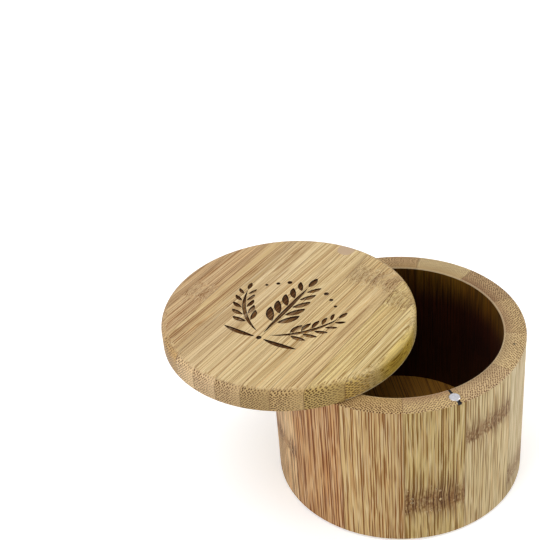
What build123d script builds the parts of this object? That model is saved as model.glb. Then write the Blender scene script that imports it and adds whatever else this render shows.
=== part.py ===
from build123d import *
from itertools import pairwise
from math import cos, radians, sin
import os

# Round salt box of laminated bamboo. Staves are glued up into a ring and turned, a floor
# disc is glued into a rebate under them, and a turned lid swivels on one screw in the rim,
# its head hidden by a bamboo plug. Two disc magnets hold the lid shut.
# Millimetres, +Z up, origin at the centre of the underside, pivot on +Y, magnet on -Y.

# ---- Driving dimensions ----

ring_radius = 44.5  # outside of the turned ring
bore_radius = 36.8
ring_height = 58.4
stave_count = 13
first_joint = -86.7  # degrees; the glue joint just clear of the magnet's pocket
rim_ease = 0.35  # sanded edges of the rim
foot_ease = 0.9  # outer edge of the underside

floor_radius = 38.8  # the rebate it is glued into
floor_thickness = 6.3
floor_grain_turn = -13.0  # degrees between the floor's strips and the Y axis
floor_strip_offset = 4.6  # a glue line's distance from the middle

lid_radius = 44.45
lid_thickness = 8.55
lid_top_round = 2.6
lid_bottom_ease = 0.4
lid_gap = 0.1  # running gap over the rim
lid_swing = -55.0  # degrees from shut, about the pivot
lid_strip_offset = -0.6

strip_width = 9.4  # laminations of the lid and the floor

pivot_radius = 40.65  # the middle of the ring's wall
screw_radius = 1.5
screw_length = 16.0  # under the head
screw_point = 3.0
screw_head_radius = 2.9
screw_head_height = 1.8
screw_head_ease = 0.6
screw_recess_width = 0.8
screw_recess_span = 3.2
screw_recess_depth = 0.9
running_gap = 0.05  # around the shank, in the lid
head_gap = 0.1  # under and over the head
plug_radius = 3.2
plug_thickness = 3.0

magnet_radius = 2.0
magnet_thickness = 3.0
magnet_bevel = 0.3
magnet_place = 40.95  # from the ring's axis
kerf_depth = 0.4
kerf_inner_width = 0.6
kerf_outer_width = 1.2

# ---- Worked-out levels and frames ----

stave_angle = 360 / stave_count
lid_underside = ring_height + lid_gap
lid_top = lid_underside + lid_thickness
plug_underside = lid_top - plug_thickness
head_top = plug_underside - head_gap
head_underside = head_top - screw_head_height
head_seat = head_underside - head_gap
screw_tip = head_underside - screw_length

shut_to_open = (
    Location((0, pivot_radius, 0)) * Rotation(0, 0, lid_swing) * Location((0, -pivot_radius, 0))
)
lid_plane = Plane(shut_to_open * Location((0, 0, lid_underside)))
lid_section = Plane(lid_plane.origin, x_dir=-lid_plane.y_dir, z_dir=-lid_plane.x_dir)
lid_axis = Axis(lid_plane.origin, (0, 0, 1))
floor_plane = Plane(Location((0, 0, 0), (0, 0, floor_grain_turn)))


def radial_plane(angle):
    """The plane through the ring's axis at this angle: X points outwards and Y up."""
    outwards = (cos(radians(angle)), sin(radians(angle)), 0)
    across = (sin(radians(angle)), -cos(radians(angle)), 0)
    return Plane((0, 0, 0), x_dir=outwards, z_dir=across)


def stave_at(angle):
    """The number of the stave that stands at this angle round the ring."""
    return 1 + int((angle - first_joint) % 360 // stave_angle)


def strip_edges(radius, offset):
    """Where a disc's glue lines cross its width, from one side of the disc to the other."""
    edges = [-radius]
    glue_line = offset - strip_width * ((radius + offset) // strip_width)
    while glue_line < radius:
        edges.append(glue_line)
        glue_line += strip_width
    edges.append(radius)
    return edges


def hand_over(builder, name):
    """Label a finished piece and write its STEP file."""
    builder.part.label = name
    export_step(builder.part, f"parts/{name}.step")


os.makedirs("parts", exist_ok=True)

# ---- Pivot screw: driven into the rim, and the lid turns on its shank ----

with BuildPart() as pivot_screw:
    with BuildSketch(Plane.XZ.offset(-pivot_radius)) as screw_profile:
        with BuildLine():
            Polyline(
                (0, screw_tip),
                (screw_radius, screw_tip + screw_point),
                (screw_radius, head_underside),
                (screw_head_radius, head_underside),
                (screw_head_radius, head_top),
                (0, head_top),
                close=True,
            )
        make_face()
        head_corner = screw_profile.vertices().group_by(Axis.X)[-1].sort_by(Axis.Y)[-1]
        chamfer(head_corner, screw_head_ease)
    revolve(axis=Axis((0, pivot_radius, 0), (0, 0, 1)))
    with BuildSketch(Plane((0, pivot_radius, head_top))):
        Rectangle(screw_recess_span, screw_recess_width)
        Rectangle(screw_recess_width, screw_recess_span)
    extrude(amount=-screw_recess_depth, mode=Mode.SUBTRACT)
hand_over(pivot_screw, "pivot_screw")

# ---- Ring of staves: mitred, glued up and turned to one section ----

with BuildSketch() as ring_profile:
    with BuildLine():
        Polyline(
            (floor_radius, 0),
            (ring_radius, 0),
            (ring_radius, ring_height),
            (bore_radius, ring_height),
            (bore_radius, floor_thickness),
            (floor_radius, floor_thickness),
            close=True,
        )
    make_face()
    chamfer(ring_profile.vertices().group_by(Axis.Y)[-1], rim_ease)
    chamfer(ring_profile.vertices().group_by(Axis.Y)[0].sort_by(Axis.X)[-1], foot_ease)

for number in range(1, stave_count + 1):
    with BuildPart() as stave:
        with BuildSketch(radial_plane(first_joint + (number - 1) * stave_angle)):
            add(ring_profile.sketch)
        revolve(axis=Axis.Z, revolution_arc=stave_angle)
        if number == stave_at(90):
            add(pivot_screw.part, mode=Mode.SUBTRACT)
        if number == stave_at(-90):
            with Locations((0, -magnet_place, ring_height)):
                Hole(magnet_radius, magnet_thickness)
            with BuildSketch(Plane.XY.offset(ring_height)):
                with BuildLine():
                    Polyline(
                        (-kerf_inner_width / 2, -bore_radius + rim_ease),
                        (kerf_inner_width / 2, -bore_radius + rim_ease),
                        (kerf_outer_width / 2, -ring_radius),
                        (-kerf_outer_width / 2, -ring_radius),
                        close=True,
                    )
                make_face()
            extrude(amount=-kerf_depth, mode=Mode.SUBTRACT)
    hand_over(stave, f"stave_{number:02d}")

# ---- Floor: a disc of edge-glued strips, let in flush with the underside ----

for number, (low, high) in enumerate(pairwise(strip_edges(floor_radius, floor_strip_offset)), 1):
    with BuildPart() as floor_strip:
        with BuildSketch(floor_plane):
            Circle(floor_radius)
            with Locations(((low + high) / 2, 0)):
                Rectangle(high - low, 2 * floor_radius, mode=Mode.INTERSECT)
        extrude(amount=floor_thickness)
    hand_over(floor_strip, f"floor_strip_{number:02d}")

# ---- Lid: edge-glued strips, turned, then bored for the pivot and the magnet ----

with BuildSketch() as lid_profile:
    Rectangle(lid_radius, lid_thickness, align=(Align.MIN, Align.MIN))
    fillet(lid_profile.vertices().sort_by(Axis.X)[-2:].sort_by(Axis.Y)[-1], lid_top_round)
    chamfer(lid_profile.vertices().group_by(Axis.Y)[0].sort_by(Axis.X)[-1], lid_bottom_ease)

for number, (low, high) in enumerate(pairwise(strip_edges(lid_radius, lid_strip_offset)), 1):
    with BuildPart() as lid_strip:
        with BuildSketch(lid_section):
            add(lid_profile.sketch)
        revolve(axis=lid_axis)
        with BuildSketch(lid_plane):
            with Locations(((low + high) / 2, 0)):
                Rectangle(high - low, 2 * lid_radius)
        extrude(amount=lid_thickness, mode=Mode.INTERSECT)
        if low < plug_radius and high > -plug_radius:
            with Locations((0, pivot_radius, lid_top)):
                CounterBoreHole(screw_radius + running_gap, plug_radius, lid_top - head_seat)
            with Locations(lid_plane.location * Location((0, -magnet_place, magnet_thickness))):
                Hole(magnet_radius, magnet_thickness)
    hand_over(lid_strip, f"lid_strip_{number:02d}")

# ---- Plug: glued in over the screw's head and turned off with the lid ----

with BuildPart() as pivot_plug:
    with BuildSketch(lid_section):
        add(lid_profile.sketch)
    revolve(axis=lid_axis)
    with BuildSketch(Plane((0, pivot_radius, plug_underside))):
        Circle(plug_radius)
    extrude(amount=plug_thickness, mode=Mode.INTERSECT)
hand_over(pivot_plug, "pivot_plug")

# ---- Magnets: one flush in the rim, one flush in the lid's underside ----

magnet_planes = {
    "rim_magnet": Plane((0, -magnet_place, ring_height), z_dir=(0, 0, 1)),
    "lid_magnet": Plane(
        lid_plane.from_local_coords((0, -magnet_place, 0)), z_dir=(0, 0, -1)
    ),
}
for name, shown_face in magnet_planes.items():
    with BuildPart() as magnet:
        with BuildSketch(shown_face):
            Circle(magnet_radius)
        extrude(amount=-magnet_thickness)
        outwards = Axis(shown_face.origin, shown_face.z_dir)
        chamfer(magnet.faces().sort_by(outwards)[-1].edges(), magnet_bevel)
    hand_over(magnet, name)
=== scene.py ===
from math import cos, pi, radians, sin, tan

import bmesh
import bpy
from mathutils import Matrix, Vector


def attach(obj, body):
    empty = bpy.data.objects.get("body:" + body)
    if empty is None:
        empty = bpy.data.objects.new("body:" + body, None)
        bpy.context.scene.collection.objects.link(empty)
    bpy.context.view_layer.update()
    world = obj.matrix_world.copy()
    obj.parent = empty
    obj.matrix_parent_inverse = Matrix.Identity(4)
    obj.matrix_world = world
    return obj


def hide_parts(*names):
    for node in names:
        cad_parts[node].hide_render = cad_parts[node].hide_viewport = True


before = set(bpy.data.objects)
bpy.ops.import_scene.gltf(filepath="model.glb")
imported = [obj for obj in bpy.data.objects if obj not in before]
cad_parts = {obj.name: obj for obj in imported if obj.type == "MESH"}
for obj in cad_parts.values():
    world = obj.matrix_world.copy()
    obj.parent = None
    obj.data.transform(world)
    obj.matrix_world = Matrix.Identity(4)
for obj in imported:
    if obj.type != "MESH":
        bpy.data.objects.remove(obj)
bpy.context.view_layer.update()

# The view: a long lens from in front and a little to the left, looking down over the
# pushed-aside lid and the rim into the empty box.
camera_place = Vector((-0.15166, -0.30655, 0.32140))
camera_yaw = radians(19.256)
camera_dip = radians(34.557)
camera_roll = radians(-5.145)
camera_lens = 82.10
ahead = Vector((
    sin(camera_yaw) * cos(camera_dip),
    cos(camera_yaw) * cos(camera_dip),
    -sin(camera_dip),
))
level = Vector((cos(camera_yaw), -sin(camera_yaw), 0))
right = level * cos(camera_roll) + level.cross(ahead) * sin(camera_roll)
upward = right.cross(ahead)
camera = bpy.data.objects.new("camera", bpy.data.cameras.new("camera"))
camera.data.lens = camera_lens
camera.data.sensor_width = 36
camera.matrix_world = Matrix.Translation(camera_place) @ Matrix((
    right, upward, -ahead)).transposed().to_4x4()
bpy.context.scene.collection.objects.link(camera)
bpy.context.scene.camera = camera
bpy.context.scene.view_settings.view_transform = "Standard"


# Ring: thirteen staves of split bamboo, mitred and glued edge to edge like a barrel, then
# turned round inside and out and oiled. The fibres stand upright, with the hard skin side
# of the culm outward: streaks on the wall, dots on the rim. Lengths are in millimetres.
stave_count = 13
first_joint = radians(-86.7)
ring_radius = 44.5
bore_radius = 36.8
ring_height = 58.4
metres_to_millimetres = (1000, 1000, 1000)


def colour(hexadecimal):
    """A colour written as it looks, turned into the linear light that shaders take."""
    parts = [int(hexadecimal[i:i + 2], 16) / 255 for i in (1, 3, 5)]
    return [p / 12.92 if p <= 0.04045 else ((p + 0.055) / 1.055) ** 2.4 for p in parts] + [1]


class Finish:
    """A material, and the few ways in which its nodes are put together."""

    def __init__(self, name):
        self.material = bpy.data.materials.new(name)
        self.material.use_nodes = True
        self.tree = self.material.node_tree
        self.shader = self.tree.nodes["Principled BSDF"]

    def node(self, kind, settings=(), output=0, **inputs):
        """Add a node; inputs are named, or numbered as _0, _1; gives back one output."""
        made = self.tree.nodes.new("ShaderNode" + kind)
        for key, value in dict(settings).items():
            setattr(made, key, value)
        for key, value in inputs.items():
            socket = made.inputs[int(key[1:]) if key[0] == "_" else key.replace("_", " ")]
            if isinstance(value, bpy.types.NodeSocket):
                self.tree.links.new(value, socket)
            else:
                socket.default_value = value
        return made.outputs[output]

    def object_place(self):
        """The place on the piece, in metres, as the frame has it."""
        return self.node("TexCoord", output=3)

    def maths(self, operation, *numbers):
        """One step of reckoning with numbers, each a value or another node's output."""
        values = {f"_{place}": number for place, number in enumerate(numbers)}
        return self.node("Math", {"operation": operation}, **values)

    def times(self, first, second):
        """The two multiplied."""
        return self.maths("MULTIPLY", first, second)

    def scaled(self, value, scale, start):
        """The value times a scale, on top of a start."""
        return self.maths("MULTIPLY_ADD", value, scale, start)

    def fade(self, value, start, end):
        """0 at start, 1 at end and a smooth slope between."""
        return self.node("MapRange", {"interpolation_type": "SMOOTHSTEP"},
                         Value=value, From_Min=start, From_Max=end)

    def mix(self, share, first, second, blend="MIX"):
        """The first colour where share is 0, and the second, or its blend, where it is 1."""
        return self.node("Mix", {"data_type": "RGBA", "blend_type": blend}, 2,
                         _0=share, _6=first, _7=second)

    def part(self, vector, axis):
        """One of a vector's three numbers: 0 is X, 1 is Y and 2 is Z."""
        return self.node("SeparateXYZ", output=axis, Vector=vector)

    def join(self, value, socket):
        """Let a pattern drive one of the surface's properties."""
        self.tree.links.new(value, self.shader.inputs[socket])

    def surface(self, **settings):
        """Set properties that are the same all over the surface."""
        for key, value in settings.items():
            self.shader.inputs[key.replace("_", " ")].default_value = value


class Bamboo(Finish):
    """Solid bamboo, in a frame of its own that `turn` leads to.

    In it Z follows the fibres and X goes through the culm's wall, from pith to skin. `place`
    is a place in it, and `at` is the same place in the whole box, both in millimetres.
    Bundles of fibre are dots where a cut crosses them and lines where it follows them,
    darker towards the skin. They lean a little, so that a cut leaves them and the lines
    taper off.

    seed              which piece this one is, as each is sawn from another place
    pale, dark        colours of the ground and of the bundles
    skin, pith        X at the two faces of the culm's wall
    lean, wander      how the fibres tilt, and how far they stray from straight
    cell              from line to line: one number for a wall, two for a sawn board
    length            how far a line runs before it changes
    base, lines       how dark the ground is, and how much darker a line is
    width, faint      where a line's soft edge starts and ends, in cells from its middle, and
                      how dark the faintest line is
    bands, threads    width and strength of the broad stripes and of the finest streaks
    dots, core        from dot to dot, and how dark the bundles still are at the pith
    end_tint          what the cut across the fibres is tinted with
    ring              the culm's node: its place along Z, its slope, its thickness, and how
                      far it pushes the fibres about
    sided             how much darker each millimetre along Y is than the one before
    """

    seed_step = Vector((37.3, 53.9, 11.7))

    def __init__(self, name, turn, seed, pale, dark, skin, pith, lean, wander, cell,
                 length=26, base=0.17, lines=1.9, width=(0.38, 0.1), faint=0.3,
                 bands=(1.8, 0.06), threads=(0.32, 1.7), dots=0.76, core=0.35,
                 end_tint="#ffffff", ring=None, sided=0.0):
        super().__init__(name)
        self.at = self.node("Mapping", Vector=self.object_place(), Scale=metres_to_millimetres)
        self.place = self.node("Mapping", Vector=self.at, Rotation=turn)
        self.grain = self.node("Mapping", Vector=self.place, Rotation=lean,
                               Location=seed * self.seed_step)
        facing = self.node("Mapping", {"vector_type": "NORMAL"}, Rotation=turn,
                           Vector=self.node("TexCoord", output=1))
        towards_ends = self.maths("ABSOLUTE", self.part(facing, 2))
        self.end_cut = self.fade(towards_ends, 0.18, 0.6)
        self.long_cut = self.maths("SUBTRACT", 1.0, self.end_cut)
        near_skin = self.node("MapRange", Value=self.part(self.place, 0),
                              From_Min=pith, From_Max=skin)
        depth = self.scaled(near_skin, 1 - core, core)
        cloud = self.maths("SUBTRACT", self.noise(self.grain, across=9, along=45), 0.5)

        drift = self.drifting(wander, cell, length, ring)
        patchy = self.scaled(self.noise(self.grain, across=6, along=length), 0.8, 0.7)
        line = self.fibre_lines(drift, cell, length, width, faint)
        line = self.times(self.times(line, depth), patchy)
        band_width, band_strength = bands
        band = self.fade(self.noise(drift, band_width, 3 * length, detail=1.0), 0.44, 0.58)
        thread_width, thread_strength = threads
        thread = self.maths("SUBTRACT", self.noise(drift, thread_width, length, detail=1.0), 0.5)
        shade = self.scaled(line, lines, base)
        shade = self.scaled(band, band_strength, shade)
        shade = self.scaled(thread, thread_strength, shade)
        shade = self.scaled(self.part(self.place, 1), sided, shade)
        self.shade = self.scaled(cloud, 0.3, shade)
        side_tone = self.mix(self.node("Clamp", Value=self.shade),
                             self.pale_ground(drift, pale, length), dark)

        self.dot = self.times(self.bundle_ends(dots), depth)
        end_shade = self.scaled(cloud, 0.4, self.scaled(self.dot, 1.5, 0.06))
        bundle = self.mix(1.0, dark, colour("#b39f86"), "MULTIPLY")
        end_tone = self.mix(self.node("Clamp", Value=end_shade), pale, bundle)
        end_tone = self.mix(1.0, end_tone, colour(end_tint), "MULTIPLY")
        self.tone = self.mix(self.end_cut, side_tone, end_tone)

    def cells(self, vector, across, along):
        """The place counted in cells of this many millimetres across and along the fibres."""
        return self.node("Mapping", Vector=vector, Scale=(1 / across, 1 / across, 1 / along))

    def noise(self, vector, across, along, detail=2.0, output=0):
        """Clouds of about this size: output 0 is one number, and output 1 is three."""
        return self.node("TexNoise", output=output, Vector=self.cells(vector, across, along),
                         Scale=1.0, Detail=detail)

    def drifting(self, wander, cell, length, ring):
        """The grain with its slow bends, and with the fibres pushed about at a culm's node."""
        strayed = self.noise(self.grain, across=6, along=length, detail=1.0, output=1)
        drift = self.node("VectorMath", {"operation": "MULTIPLY_ADD"},
                          _0=strayed, _1=wander, _2=self.grain)
        if ring:
            slant = self.scaled(self.part(self.place, 1), -ring["slope"], -ring["place"])
            lift = self.maths("ADD", self.part(self.place, 2), slant)
            self.from_ring = self.maths("DIVIDE", lift, ring["thickness"])
            near = self.fade(self.maths("ABSOLUTE", self.from_ring), 8.0, 1.0)
            pushed = self.noise(self.grain, across=2.4, along=5, detail=1.0, output=1)
            pushed = self.node("VectorMath", {"operation": "SCALE"},
                               _0=pushed, Scale=self.times(near, ring["push"]))
            drift = self.node("VectorMath", _0=drift, _1=pushed)
        if len(cell) == 2:
            shuffled = self.noise(self.grain, across=1.0, along=400, detail=0.0)
            drift = self.node("VectorMath", {"operation": "MULTIPLY_ADD"},
                              _0=shuffled, _1=(0, 14, 0), _2=drift)
        return drift

    def fibre_lines(self, drift, cell, length, width, faint):
        """The bundles where a cut follows them: 1 on the darkest line, 0 between lines."""
        if len(cell) == 1:
            row = self.maths("DIVIDE", self.part(drift, 1), cell[0])
            spots = self.node("TexVoronoi", {"voronoi_dimensions": "1D"}, W=row,
                              Randomness=0.7, Scale=1.0)
            taper = self.noise(drift, across=cell[0], along=0.8 * length, detail=1.0)
            taper = self.fade(taper, 0.38, 0.66)
            off = self.scaled(taper, 0.3, spots)
        else:
            board = self.node("Mapping", Vector=drift, Scale=(1 / cell[0], 1 / cell[1], 0))
            spots = self.node("TexVoronoi", {"voronoi_dimensions": "2D"}, Vector=board,
                              Randomness=0.65, Scale=1.0)
            off = spots
        strength = self.scaled(self.part(spots.node.outputs["Color"], 0), 1 - faint, faint)
        return self.times(self.fade(off, *width), strength)

    def pale_ground(self, drift, pale, length):
        """The ground between the lines, with threads that blush and finer ones that gleam."""
        blush = self.noise(drift, across=0.9, along=length, detail=1.0)
        blush = self.fade(blush, 0.5, 0.66)
        blushing = self.mix(1.0, pale, colour("#e6bf9a"), "MULTIPLY")
        ground = self.mix(self.times(blush, 0.4), pale, blushing)
        gleam = self.noise(drift, across=0.45, along=0.7 * length, detail=0.0)
        gleam = self.fade(gleam, 0.5, 0.66)
        gleaming = self.mix(0.5, pale, colour("#fbf0d2"))
        return self.mix(self.times(gleam, 0.4), ground, gleaming)

    def bundle_ends(self, dots):
        """The bundles where a cut crosses them: dots in rows that stand askew."""
        askew = self.node("Mapping", Vector=self.cells(self.grain, dots, 1),
                          Rotation=(0, 0, pi / 4))
        spots = self.node("TexVoronoi", {"voronoi_dimensions": "2D"}, Vector=askew,
                          Randomness=0.4, Scale=1.0)
        return self.fade(spots, 0.4, 0.25)

    def paint(self, share, tint):
        """Cover what there is with a tint, as far as the share goes."""
        self.tone = self.mix(share, self.tone, tint)

    def soak(self, share, tint):
        """Darken what there is with a tint that the grain still shows through."""
        self.tone = self.mix(share, self.tone, tint, "MULTIPLY")

    def culm_ring(self, strength, across, along, pips, deep):
        """Where the culm had a node: a mottled brown band that licks up along the fibres.

        Its mottling is `across` by `along` millimetres, and `pips` is the share of small
        root scars in it, each a dark pip in a pale ring. How far something is from the node
        is counted in the node's thickness.
        """
        lick_up = 12.0
        lick_down = 4.0
        halo_above = 16.0
        halo_below = 14.0
        scar_size = 1.6
        tongue = self.noise(self.grain, across=2.4, along=60)
        above = self.scaled(tongue, -lick_up, self.from_ring)
        below = self.scaled(tongue, lick_down, self.from_ring)
        band = self.times(self.fade(above, 3.0, -5.0), self.fade(below, -5.0, -1.0))
        seen = self.times(self.long_cut, strength)
        band = self.times(band, seen)
        halo = self.times(self.fade(self.from_ring, halo_above, 1.0),
                          self.fade(self.from_ring, -halo_below, -1.0))
        licks = self.fade(self.noise(self.grain, across=1.6, along=30), 0.4, 0.6)
        halo = self.times(self.times(halo, seen), self.scaled(licks, 0.6, 0.08))
        blotch = self.fade(self.noise(self.grain, across, along, detail=3.0), 0.34, 0.66)
        stain = self.times(band, self.scaled(blotch, 0.5, 0.4))
        self.soak(self.maths("MAXIMUM", halo, stain), colour(deep))
        scars = self.node("TexVoronoi", Vector=self.cells(self.grain, scar_size, scar_size),
                          Scale=1.0)
        chance = self.part(scars.node.outputs["Color"], 1)
        there = self.times(band, self.maths("GREATER_THAN", chance, 1 - pips))
        self.paint(self.times(self.fade(scars, 0.36, 0.26), there), colour("#c8ab7c"))
        self.paint(self.times(self.fade(scars, 0.25, 0.15), there), colour("#1e0e04"))

    def glue_line(self, off):
        """A hair of dark glue where `off`, the distance from a joint, is nothing."""
        self.paint(self.times(self.fade(off, 0.22, 0.06), 0.55), colour("#6d4c2a"))

    def oiled(self):
        """The finished surface: hand oiled, with the bundles standing a little lower."""
        self.join(self.tone, "Base Color")
        self.surface(Roughness=0.55, Specular_IOR_Level=0.3)
        bundles = self.node("Mix", {"data_type": "FLOAT"},
                            _0=self.end_cut, _2=self.shade, _3=self.dot)
        relief = self.times(bundles, -1.0)
        self.join(self.node("Bump", Strength=0.35, Distance=0.00008, Height=relief), "Normal")
        return self.material


def dress(piece, material):
    """Give a piece its finish in place of the plain one."""
    piece.data.materials.clear()
    piece.data.materials.append(material)


# Each stave comes from another culm, so each has its own pale ground and dark lines. Some
# have a node, at a height and with a slope, thickness and strength of its own, and some are
# darker towards one joint. The sanded rim is tinted from its bore edge to its outer edge.
stave_tones = [
    ("#dfca98", "#987542"), ("#dfcea6", "#a1844c"), ("#dec396", "#8f6a40"),
    ("#d8b88e", "#8d6840"), ("#ead4a8", "#967040"), ("#dcbc8e", "#805528"),
    ("#d9b885", "#7d531e"), ("#d5b47e", "#784d1a"), ("#dbbd8a", "#825824"),
    ("#efca95", "#764a28"), ("#d0a46e", "#773c06"), ("#d1b27a", "#7e4c0e"),
    ("#d4ba7d", "#7a5208"),
]
stave_rings = {
    1: (43.2, 0.06, 0.6, 1.1), 2: (10.0, 0.0, 0.8, 1.0), 4: (33.0, -0.1, 0.8, 0.8),
    6: (21.0, 0.1, 0.7, 0.8), 8: (48.0, 0.0, 0.8, 0.8), 10: (25.0, 0.0, 0.5, 0.9),
    13: (18.0, 0.0, 1.0, 1.2),
}
stave_sides = {12: 0.014, 13: -0.008, 1: -0.003}
rim_tints = {
    1: ("#b1a09a", "#eadede"), 2: ("#c2b1a2", "#f2e4d0"), 3: ("#af9b93", "#e6e0d0"),
    4: ("#9b8474", "#d2cdc0"), 5: ("#bfae94", "#e6e2d4"), 6: ("#bbae8e", "#e4dfd3"),
    12: ("#d6cfc2", "#ece8e6"), 13: ("#b09488", "#fffdff"),
}
usual_rim_tint = ("#bdb4aa", "#e1d1cb")
pitted_stave = 2
magnet_stave = 13


def sanded_rim(wood, reach, inner, outer):
    """The end grain of the rim, greyer than the wall, with a painted highlight along the bore's
    edge.
    """
    tint_start = bore_radius - 1
    tint_end = ring_radius - 2.5
    greyed = wood.mix(wood.fade(reach, tint_start, tint_end), colour(inner), colour(outer))
    wood.soak(wood.end_cut, greyed)
    # Painted highlight: a thin pale line along the rim's inner edge, where its chamfer catches
    # the light.
    bore_edge_highlight = wood.fade(reach, bore_radius + 0.6, bore_radius + 0.4)
    wood.paint(wood.times(wood.times(bore_edge_highlight, wood.end_cut), 0.35), colour("#e4cfa8"))


def shaded_bore(wood, reach):
    """Painted shade in the bore: the inside is darkened, and darkest below its upper quarter,
    where the shadow falls; the streaks follow the grain.
    """
    shade_starts = 58
    shade_ends = 43
    inside = wood.fade(reach, bore_radius + 0.2, bore_radius + 0.05)
    streaks = wood.noise(wood.grain, across=0.5, along=30, detail=1.0)
    streaks = wood.fade(streaks, 0.38, 0.62)
    upper = wood.mix(streaks, colour("#84671e"), colour("#5a4512"))
    lower = wood.mix(streaks, colour("#441e06"), colour("#301404"))
    deep = wood.fade(wood.part(wood.place, 2), shade_starts, shade_ends)
    # Painted shade: the inside of the bore is darkened, more deeply below the shadow's edge.
    wood.soak(wood.times(inside, wood.long_cut), wood.mix(deep, upper, lower))


def dark_pit(wood):
    """A small hole in the rim, where a fibre broke out as it was turned."""
    pit_place = (31.1, -26.3, ring_height)
    pit_reach = 0.5
    off = wood.node("VectorMath", {"operation": "DISTANCE"}, 1, _0=wood.at, _1=pit_place)
    wood.paint(wood.fade(off, pit_reach, 0.7 * pit_reach), colour("#1c0f08"))


def shaded_kerf(wood):
    """A saw kerf across the rim, under the magnet: painted dark as shade in the slot, and wider
    outwards.
    """
    kerf_floor = ring_height - 0.4
    inner_width = 0.6
    outer_width = 1.2
    across = wood.maths("ABSOLUTE", wood.part(wood.at, 0))
    outwards = wood.times(wood.part(wood.at, 1), -1.0)
    half_width = wood.node("MapRange", Value=outwards,
                           From_Min=bore_radius, From_Max=ring_radius,
                           To_Min=inner_width / 2, To_Max=outer_width / 2)
    stain = wood.fade(wood.maths("SUBTRACT", across, half_width), 0.14, 0.04)
    height = wood.part(wood.place, 2)
    stain = wood.times(stain, wood.fade(height, kerf_floor - 0.6, kerf_floor - 0.2))
    stain = wood.times(stain, wood.maths("GREATER_THAN", outwards, 0.0))
    # Painted shade: the slot is painted near black.
    wood.paint(stain, colour("#15151c"))


for number in range(1, stave_count + 1):
    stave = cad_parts[f"stave_{number:02d}"]
    middle = first_joint + (number - 0.5) * 2 * pi / stave_count
    pale, dark = stave_tones[number - 1]
    ring = None
    if number in stave_rings:
        height, slope, thickness, strength = stave_rings[number]
        ring = {"place": height, "slope": slope, "thickness": thickness, "push": 0.9}
    wood = Bamboo(stave.name, turn=(0, 0, -middle), seed=number, pale=colour(pale),
                  dark=colour(dark), skin=ring_radius, pith=bore_radius, lean=(0, 0.03, 0),
                  wander=(0.8, 0.3, 0), cell=(0.95,), ring=ring,
                  sided=stave_sides.get(number, 0.0))
    if ring:
        wood.culm_ring(strength, across=0.9, along=1.3, pips=0.2, deep="#a5866c")
    side = wood.maths("ABSOLUTE", wood.part(wood.place, 1))
    mitre = wood.times(wood.part(wood.place, 0), tan(pi / stave_count))
    wood.glue_line(wood.maths("SUBTRACT", mitre, side))

    flat = wood.node("VectorMath", {"operation": "MULTIPLY"}, _0=wood.place, _1=(1, 1, 0))
    reach = wood.node("VectorMath", {"operation": "LENGTH"}, 1, _0=flat)
    sanded_rim(wood, reach, *rim_tints.get(number, usual_rim_tint))
    # Painted shade inside the bore.
    shaded_bore(wood, reach)
    if number == pitted_stave:
        dark_pit(wood)
    if number == magnet_stave:
        # Its end grain is browner than the others'.
        wood.paint(wood.times(wood.end_cut, 0.2), colour("#b8957a"))
        # Painted shade in the saw kerf.
        shaded_kerf(wood)
    dress(stave, wood.oiled())


# Floor: a disc sawn from a board of nine flat strips, let into a rebate in the foot of the
# ring and glued. Unlike the wall, it shows the strips' long grain. Its upper side, inside the
# box, is painted darker and browner as shade, and its underside keeps the pale tone.
floor_turn = radians(-13)
floor_strip_count = 9
floor_strip_width = 9.4
middle_strip = 5
middle_strip_edge = 4.6
for number in range(1, floor_strip_count + 1):
    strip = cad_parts[f"floor_strip_{number:02d}"]
    edge = middle_strip_edge + (number - middle_strip) * floor_strip_width
    wood = Bamboo(strip.name, turn=(pi / 2, floor_turn, 0), seed=20 + number,
                  pale=colour("#dcbc86"), dark=colour("#8e6d4c"), skin=edge,
                  pith=edge + floor_strip_width, lean=(0.008, 0, 0), wander=(0.3, 0.5, 0),
                  cell=(0.9, 2.4), width=(0.34, 0.14), length=80, base=0.1, lines=1.5)
    # Painted shade: the floor's upper side, inside the box, is darkened.
    shaded_upper_side = wood.fade(wood.part(wood.at, 2), 5, 5.8)
    wood.soak(shaded_upper_side, colour("#d2ab58"))
    dress(strip, wood.oiled())


# Magnets: a nickel-plated disc pressed into the rim opposite the pivot, and its match in
# the lid's underside, which snap the box shut.
def nickel(name):
    """Plating that is dull and bright in soft clouds a millimetre across."""
    plating = Finish(name)
    face = plating.node("Mapping", Vector=plating.object_place(), Scale=metres_to_millimetres)
    cloud = plating.node("TexNoise", Vector=face, Scale=1.2, Detail=3.0)
    plating.join(plating.mix(cloud, colour("#f2f1f6"), colour("#a9a8b0")), "Base Color")
    plating.join(plating.scaled(cloud, 0.3, 0.2), "Roughness")
    plating.surface(Metallic=1.0)
    return plating.material


for name in ("rim_magnet", "lid_magnet"):
    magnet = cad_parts[name]
    dress(magnet, nickel(name))


# Pivot screw: steel, driven down through the lid into the rim, and its head hidden under
# a wooden plug. The lid swings on its plain shank.
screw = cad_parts["pivot_screw"]
steel = Finish("pivot_screw")
drawn = steel.node("Mapping", Vector=steel.object_place(), Scale=(9000, 9000, 900))
scratch = steel.node("TexNoise", Vector=drawn, Scale=1.0)
steel.join(steel.mix(scratch, colour("#8e8d8a"), colour("#c4c2bc")), "Base Color")
steel.join(steel.scaled(scratch, 0.3, 0.25), "Roughness")
steel.surface(Metallic=1.0)
dress(screw, steel.material)


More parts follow.
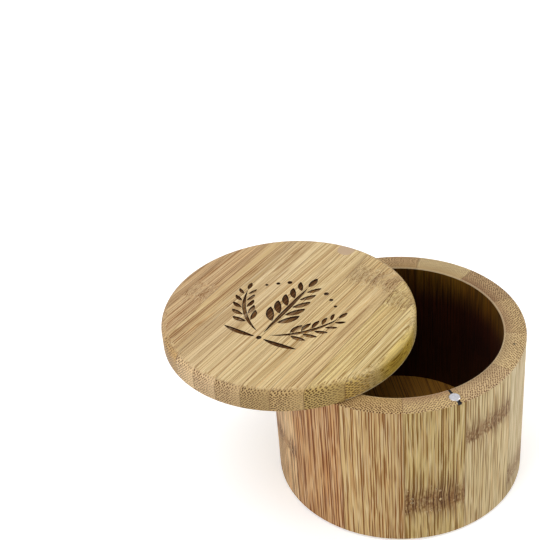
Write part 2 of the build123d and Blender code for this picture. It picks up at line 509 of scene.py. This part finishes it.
# Lid: a disc cut from ten strips glued side by side, rounded over along its upper edge,
# and swung aside on the pivot. Skin sides all face one way, so lines crowd at one edge of
# each strip, and the rounded end grain shows where one strip stops.
lid_strip_count = 10
lid_swing = radians(-55)
pivot_radius = 40.65
lid_foot = 58.5
lid_top = 67.05
strip_width = 9.4
first_strip_edge = -47.6
lid_tones = [
    ("#d3b183", "#7c5426"), ("#d8ba8b", "#85592a"), ("#d0b380", "#825629"),
    ("#dfc697", "#957040"), ("#e1c998", "#98703a"), ("#dfc794", "#936d38"),
    ("#e2c892", "#8e6831"), ("#dec38c", "#87602e"), ("#e0c788", "#856026"),
    ("#dcc48a", "#88692a"),
]
# Tints of each strip's cut ends: partly the strip's own tone, and partly painted light, palest
# on the left strips, where the left lamp's light falls.
lid_end_tones_and_light = [
    "#f6ece2", "#f8f0e6", "#f6eadc", "#fff8f8", "#f5ecee", "#e6dbd5", "#cfc4b3", "#e2d8c9",
    "#d8cdb3", "#eadca8",
]
# Four strips have a node: where it lies along the strip, and how strong it is.
lid_rings = {2: (-23, 0.25), 7: (12, 0.45), 8: (12, 0.45), 9: (5, 0.45)}


def lid_bamboo(name, number, pale, dark, end_tint, ring=None):
    """The wood of one lid strip, with the glue lines at its two edges."""
    pith_edge = first_strip_edge + number * strip_width - pivot_radius * sin(-lid_swing)
    skin_edge = pith_edge - strip_width
    # The last strip has nothing glued to its pith side, so that side is sawn less deep.
    spare = 2 if number == lid_strip_count else 0
    wood = Bamboo(name, turn=(pi / 2, lid_swing, 0), seed=40 + number, pale=colour(pale),
                  dark=colour(dark), skin=skin_edge, pith=pith_edge + spare,
                  lean=(0.006, radians(-3.8), 0), wander=(0.6, 0.9, 0), cell=(0.85, 2.4),
                  length=110, base=0.12, lines=3.6, width=(0.26, 0.12), faint=0.3,
                  core=0.25, bands=(3.0, 0.37), threads=(0.27, 2.0), dots=0.72,
                  end_tint=end_tint, ring=ring)
    across = wood.part(wood.place, 0)
    from_pith = wood.maths("ABSOLUTE", wood.maths("SUBTRACT", across, pith_edge))
    from_skin = wood.maths("ABSOLUTE", wood.maths("SUBTRACT", across, skin_edge))
    wood.glue_line(wood.maths("MINIMUM", from_pith, from_skin))
    return wood


def golden_side(wood):
    """The last strip ends in a long-grain side: golden, with painted light on its shoulder and a
    painted highlight along its lower edge.
    """
    height = wood.part(wood.at, 2)
    rounded = wood.times(wood.fade(wood.part(wood.place, 0), 8.0, 11.0), wood.long_cut)
    golden = wood.mix(1.0, wood.tone, colour("#fcf08c"), "MULTIPLY")
    # Painted light: the upper shoulder of the rounded side is lightened.
    lit_shoulder = wood.times(wood.fade(height, 64, 65.8), 0.36)
    wood.paint(rounded, wood.mix(lit_shoulder, golden, colour("#f6de8e")))
    # Painted highlight: a pale line along the lid's lower edge.
    lower_edge_highlight = wood.fade(height, lid_foot + 0.8, lid_foot + 0.55)
    wood.paint(wood.times(lower_edge_highlight, 0.5), colour("#ecdfba"))


for number in range(1, lid_strip_count + 1):
    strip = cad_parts[f"lid_strip_{number:02d}"]
    pale, dark = lid_tones[number - 1]
    ring = None
    if number in lid_rings:
        along, strength = lid_rings[number]
        ring = {"place": along, "slope": 0.0, "thickness": 0.8, "push": 3.0}
    wood = lid_bamboo(strip.name, number, pale, dark, lid_end_tones_and_light[number - 1], ring)
    if ring:
        wood.culm_ring(strength, across=0.36, along=2.6, pips=0.0, deep="#80665c")
    if number == lid_strip_count:
        golden_side(wood)
    dress(strip, wood.oiled())


# Ornament: three leafy sprigs over a rule, with a few berries, burned by a laser into the
# face of the lid, a third of a millimetre deep. The beam dwells at the outlines, so they
# are the darkest.
engraved_depth = 0.35
engraved_strips = range(3, 9)
cutter_height = 2
to_pivot = Matrix.Translation((0, pivot_radius / 1000, 0))
lid_turn = to_pivot @ Matrix.Rotation(lid_swing, 4, "Z") @ to_pivot.inverted()


def piece_from(bm, name):
    """Make a bmesh an object of its own, in its place."""
    mesh = bpy.data.meshes.new(name)
    bm.to_mesh(mesh)
    bm.free()
    piece = bpy.data.objects.new(name, mesh)
    bpy.context.scene.collection.objects.link(piece)
    return piece


def step(start, heading, length, bend, share):
    """The place and heading a share of the way along an arc that turns by `bend`."""
    turn = bend * share
    if bend:
        out = Vector((sin(turn), 1 - cos(turn))) * length / bend
    else:
        out = Vector((length * share, 0))
    return Vector(start) + Matrix.Rotation(heading, 2) @ out, heading + turn


def blade(bm, start, heading, length, width, bend=0.0, points=20):
    """A leaf or stem, pointed at both ends, with a narrower one inside it."""
    made = bmesh.ops.create_circle(bm, cap_ends=True, radius=0.5, segments=points)["verts"]
    core = list(made[0].link_faces)
    rim = bmesh.ops.inset_region(bm, faces=core, thickness=0.11, use_boundary=True)["faces"]
    core[0].material_index = 1
    for vert in {vert for face in rim + core for vert in face.verts}:
        place, facing = step(start, heading, length, bend, vert.co.x + 0.5)
        out = vert.co.y * abs(2 * vert.co.y) ** 0.6 * width
        vert.co.xy = place + out * Vector((-sin(facing), cos(facing)))


def sprig(bm, start, heading, length, bend, stem, pairs, leaf, spread, bare):
    """A tapering stem with leaves in pairs, smaller towards the one at the tip."""
    blade(bm, start, heading, length, stem, bend, points=40)
    beside_stem = 0.5 * stem + 0.15
    last_pair = 0.92
    for pair in range(pairs):
        share = bare + (last_pair - bare) * pair / (pairs - 1)
        size = leaf * (1 - 0.45 * share)
        place, facing = step(start, heading, length, bend, share)
        for side in (1, -1):
            foot = place + side * beside_stem * Vector((-sin(facing), cos(facing)))
            blade(bm, foot, facing + side * spread, size, 0.34 * size, bend=-0.5 * side)
    tip, facing = step(start, heading, length, bend, 1)
    blade(bm, tip + 0.7 * Vector((cos(facing), sin(facing))), facing, 0.62 * leaf, 0.25 * leaf)


bm = bmesh.new()
sprig(bm, start=(0, -15.5), heading=pi / 2, length=29, bend=0, stem=1.7,
      pairs=5, leaf=9.6, spread=radians(50), bare=0.24)
for side in (1, -1):
    sprig(bm, start=(side * 2.6, -15.6), heading=pi / 2 - side * radians(66), length=25,
          bend=side * radians(50), stem=1.4, pairs=5, leaf=6.6, spread=radians(50), bare=0.28)
    outwards = 0 if side > 0 else pi
    blade(bm, start=(side * 1.7, -18.4), heading=outwards - side * radians(8), length=13,
          width=1.9, bend=side * radians(20), points=30)
berries = [(0, -18.4, 0.95)]
for side in (1, -1):
    berries += [(side * 7.6, 13.6, 0.9), (side * 11, 11.2, 0.75), (side * 14.2, 8.6, 0.6)]
for across, along, radius in berries:
    berry = bmesh.ops.create_circle(bm, cap_ends=True, radius=radius, segments=16)["verts"]
    bmesh.ops.translate(bm, vec=(across, along, 0), verts=berry)
bmesh.ops.translate(bm, vec=(0, 0, lid_top - engraved_depth), verts=bm.verts)
raised = bmesh.ops.extrude_face_region(bm, geom=bm.faces[:], use_keep_orig=True)["geom"]
bmesh.ops.translate(bm, vec=(0, 0, cutter_height),
                    verts=[part for part in raised if isinstance(part, bmesh.types.BMVert)])
bmesh.ops.scale(bm, vec=(0.001, 0.001, 0.001), verts=bm.verts)
bmesh.ops.transform(bm, matrix=lid_turn, verts=bm.verts)
bmesh.ops.recalc_face_normals(bm, faces=bm.faces)
cutter = piece_from(bm, "engraving_cutter")
for name, pale, dark in (("scorched", "#40220a", "#1c0b02"), ("burned", "#8a6232", "#3a2208")):
    wood = lid_bamboo(name, number=0, pale=pale, dark=dark, end_tint="#d3c0ae")
    patches = wood.node("TexNoise", Vector=wood.place, Scale=0.09, Detail=1.0)
    wood.soak(wood.fade(patches, 0.4, 0.56), colour("#b09a88"))
    cutter.data.materials.append(wood.oiled())
    wood.surface(Specular_IOR_Level=0.05)

for number in engraved_strips:
    name = f"lid_strip_{number:02d}"
    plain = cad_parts[name]
    bm = bmesh.new()
    bm.from_mesh(plain.data)
    bmesh.ops.remove_doubles(bm, verts=bm.verts, dist=0.000001)
    bmesh.ops.dissolve_limit(bm, angle_limit=radians(0.5), verts=bm.verts, edges=bm.edges)
    strip = piece_from(bm, name + "_engraved")
    strip.data.materials.append(plain.data.materials[0])
    engrave = strip.modifiers.new("engrave", "BOOLEAN")
    engrave.object = cutter
    engrave.solver = "EXACT"
    engrave.material_mode = "TRANSFER"
    cut = bpy.data.meshes.new_from_object(
        strip.evaluated_get(bpy.context.evaluated_depsgraph_get()))
    strip.modifiers.clear()
    strip.data = cut
    cut.shade_smooth()
    cut.set_sharp_from_angle(angle=radians(30))
    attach(strip, "lid")
    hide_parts(name)
bpy.data.objects.remove(cutter)


# Plug: a disc of pinker wood, glued in over the screw's head with its grain along the
# lid's, and sanded flush.
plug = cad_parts["pivot_plug"]
disc = Finish("pivot_plug")
grain = disc.node("Mapping", Vector=disc.object_place(), Rotation=(0, 0, -lid_swing),
                  Scale=(4000, 400, 400))
streaks = disc.node("TexNoise", Vector=grain, Scale=1.0, Detail=3.0)
disc.join(disc.mix(streaks, colour("#c6ac8c"), colour("#b1957a")), "Base Color")
disc.surface(Roughness=0.6, Specular_IOR_Level=0.3)
dress(plug, disc.material)


# Studio: a white table under a white sky, a broad lamp above and a softer one each side.
# The table and the sky look brighter to the camera than they shine on the box, so that the
# ground is white and the colours of the wood stay.
bm = bmesh.new()
bmesh.ops.create_grid(bm, x_segments=1, y_segments=1, size=3)
table = piece_from(bm, "studio_floor")
paper = Finish("studio_floor")
paper.surface(Base_Color=(0.9, 0.9, 0.9, 1), Roughness=1, Emission_Color=(1, 1, 1, 1))
away = paper.node("VectorMath", {"operation": "LENGTH"}, 1, _0=paper.object_place())
glow = paper.node("MapRange", Value=away, From_Min=0.3, From_Max=1.0, To_Min=0.45, To_Max=0.75)
seen = paper.node("LightPath")
paper.join(paper.times(seen, glow), "Emission Strength")
table.data.materials.append(paper.material)


box_middle = Vector((0, 0, 0.04))


def lamp(name, place, size, power):
    """A square soft lamp that points at the middle of the box."""
    light = bpy.data.lights.new(name, "AREA")
    light.size = size
    light.energy = power
    made = bpy.data.objects.new(name, light)
    made.location = place
    made.rotation_euler = (box_middle - Vector(place)).to_track_quat("-Z", "Y").to_euler()
    bpy.context.scene.collection.objects.link(made)


lamp("top_light", place=(-0.3, 0.1, 1.2), size=0.8, power=7)
lamp("left_light", place=(-1.2, -0.6, 0.6), size=0.6, power=7)
lamp("right_light", place=(1.1, -0.2, 0.5), size=0.5, power=6)
world = bpy.data.worlds.new("studio")
bpy.context.scene.world = world
world.use_nodes = True
tree = world.node_tree
sky = tree.nodes["Background"]
sky.inputs["Color"].default_value = (1, 1, 1, 1)
sky.inputs["Strength"].default_value = 0.35
backdrop = tree.nodes.new("ShaderNodeBackground")
backdrop.inputs["Strength"].default_value = 1
path = tree.nodes.new("ShaderNodeLightPath")
choice = tree.nodes.new("ShaderNodeMixShader")
shown = path.outputs["Is Camera Ray"]
for ray in ("Is Glossy Ray", "Is Transmission Ray"):
    either = tree.nodes.new("ShaderNodeMath")
    either.operation = "MAXIMUM"
    tree.links.new(shown, either.inputs[0])
    tree.links.new(path.outputs[ray], either.inputs[1])
    shown = either.outputs[0]
tree.links.new(shown, choice.inputs[0])
tree.links.new(sky.outputs[0], choice.inputs[1])
tree.links.new(backdrop.outputs[0], choice.inputs[2])
tree.links.new(choice.outputs[0], tree.nodes["World Output"].inputs[0])
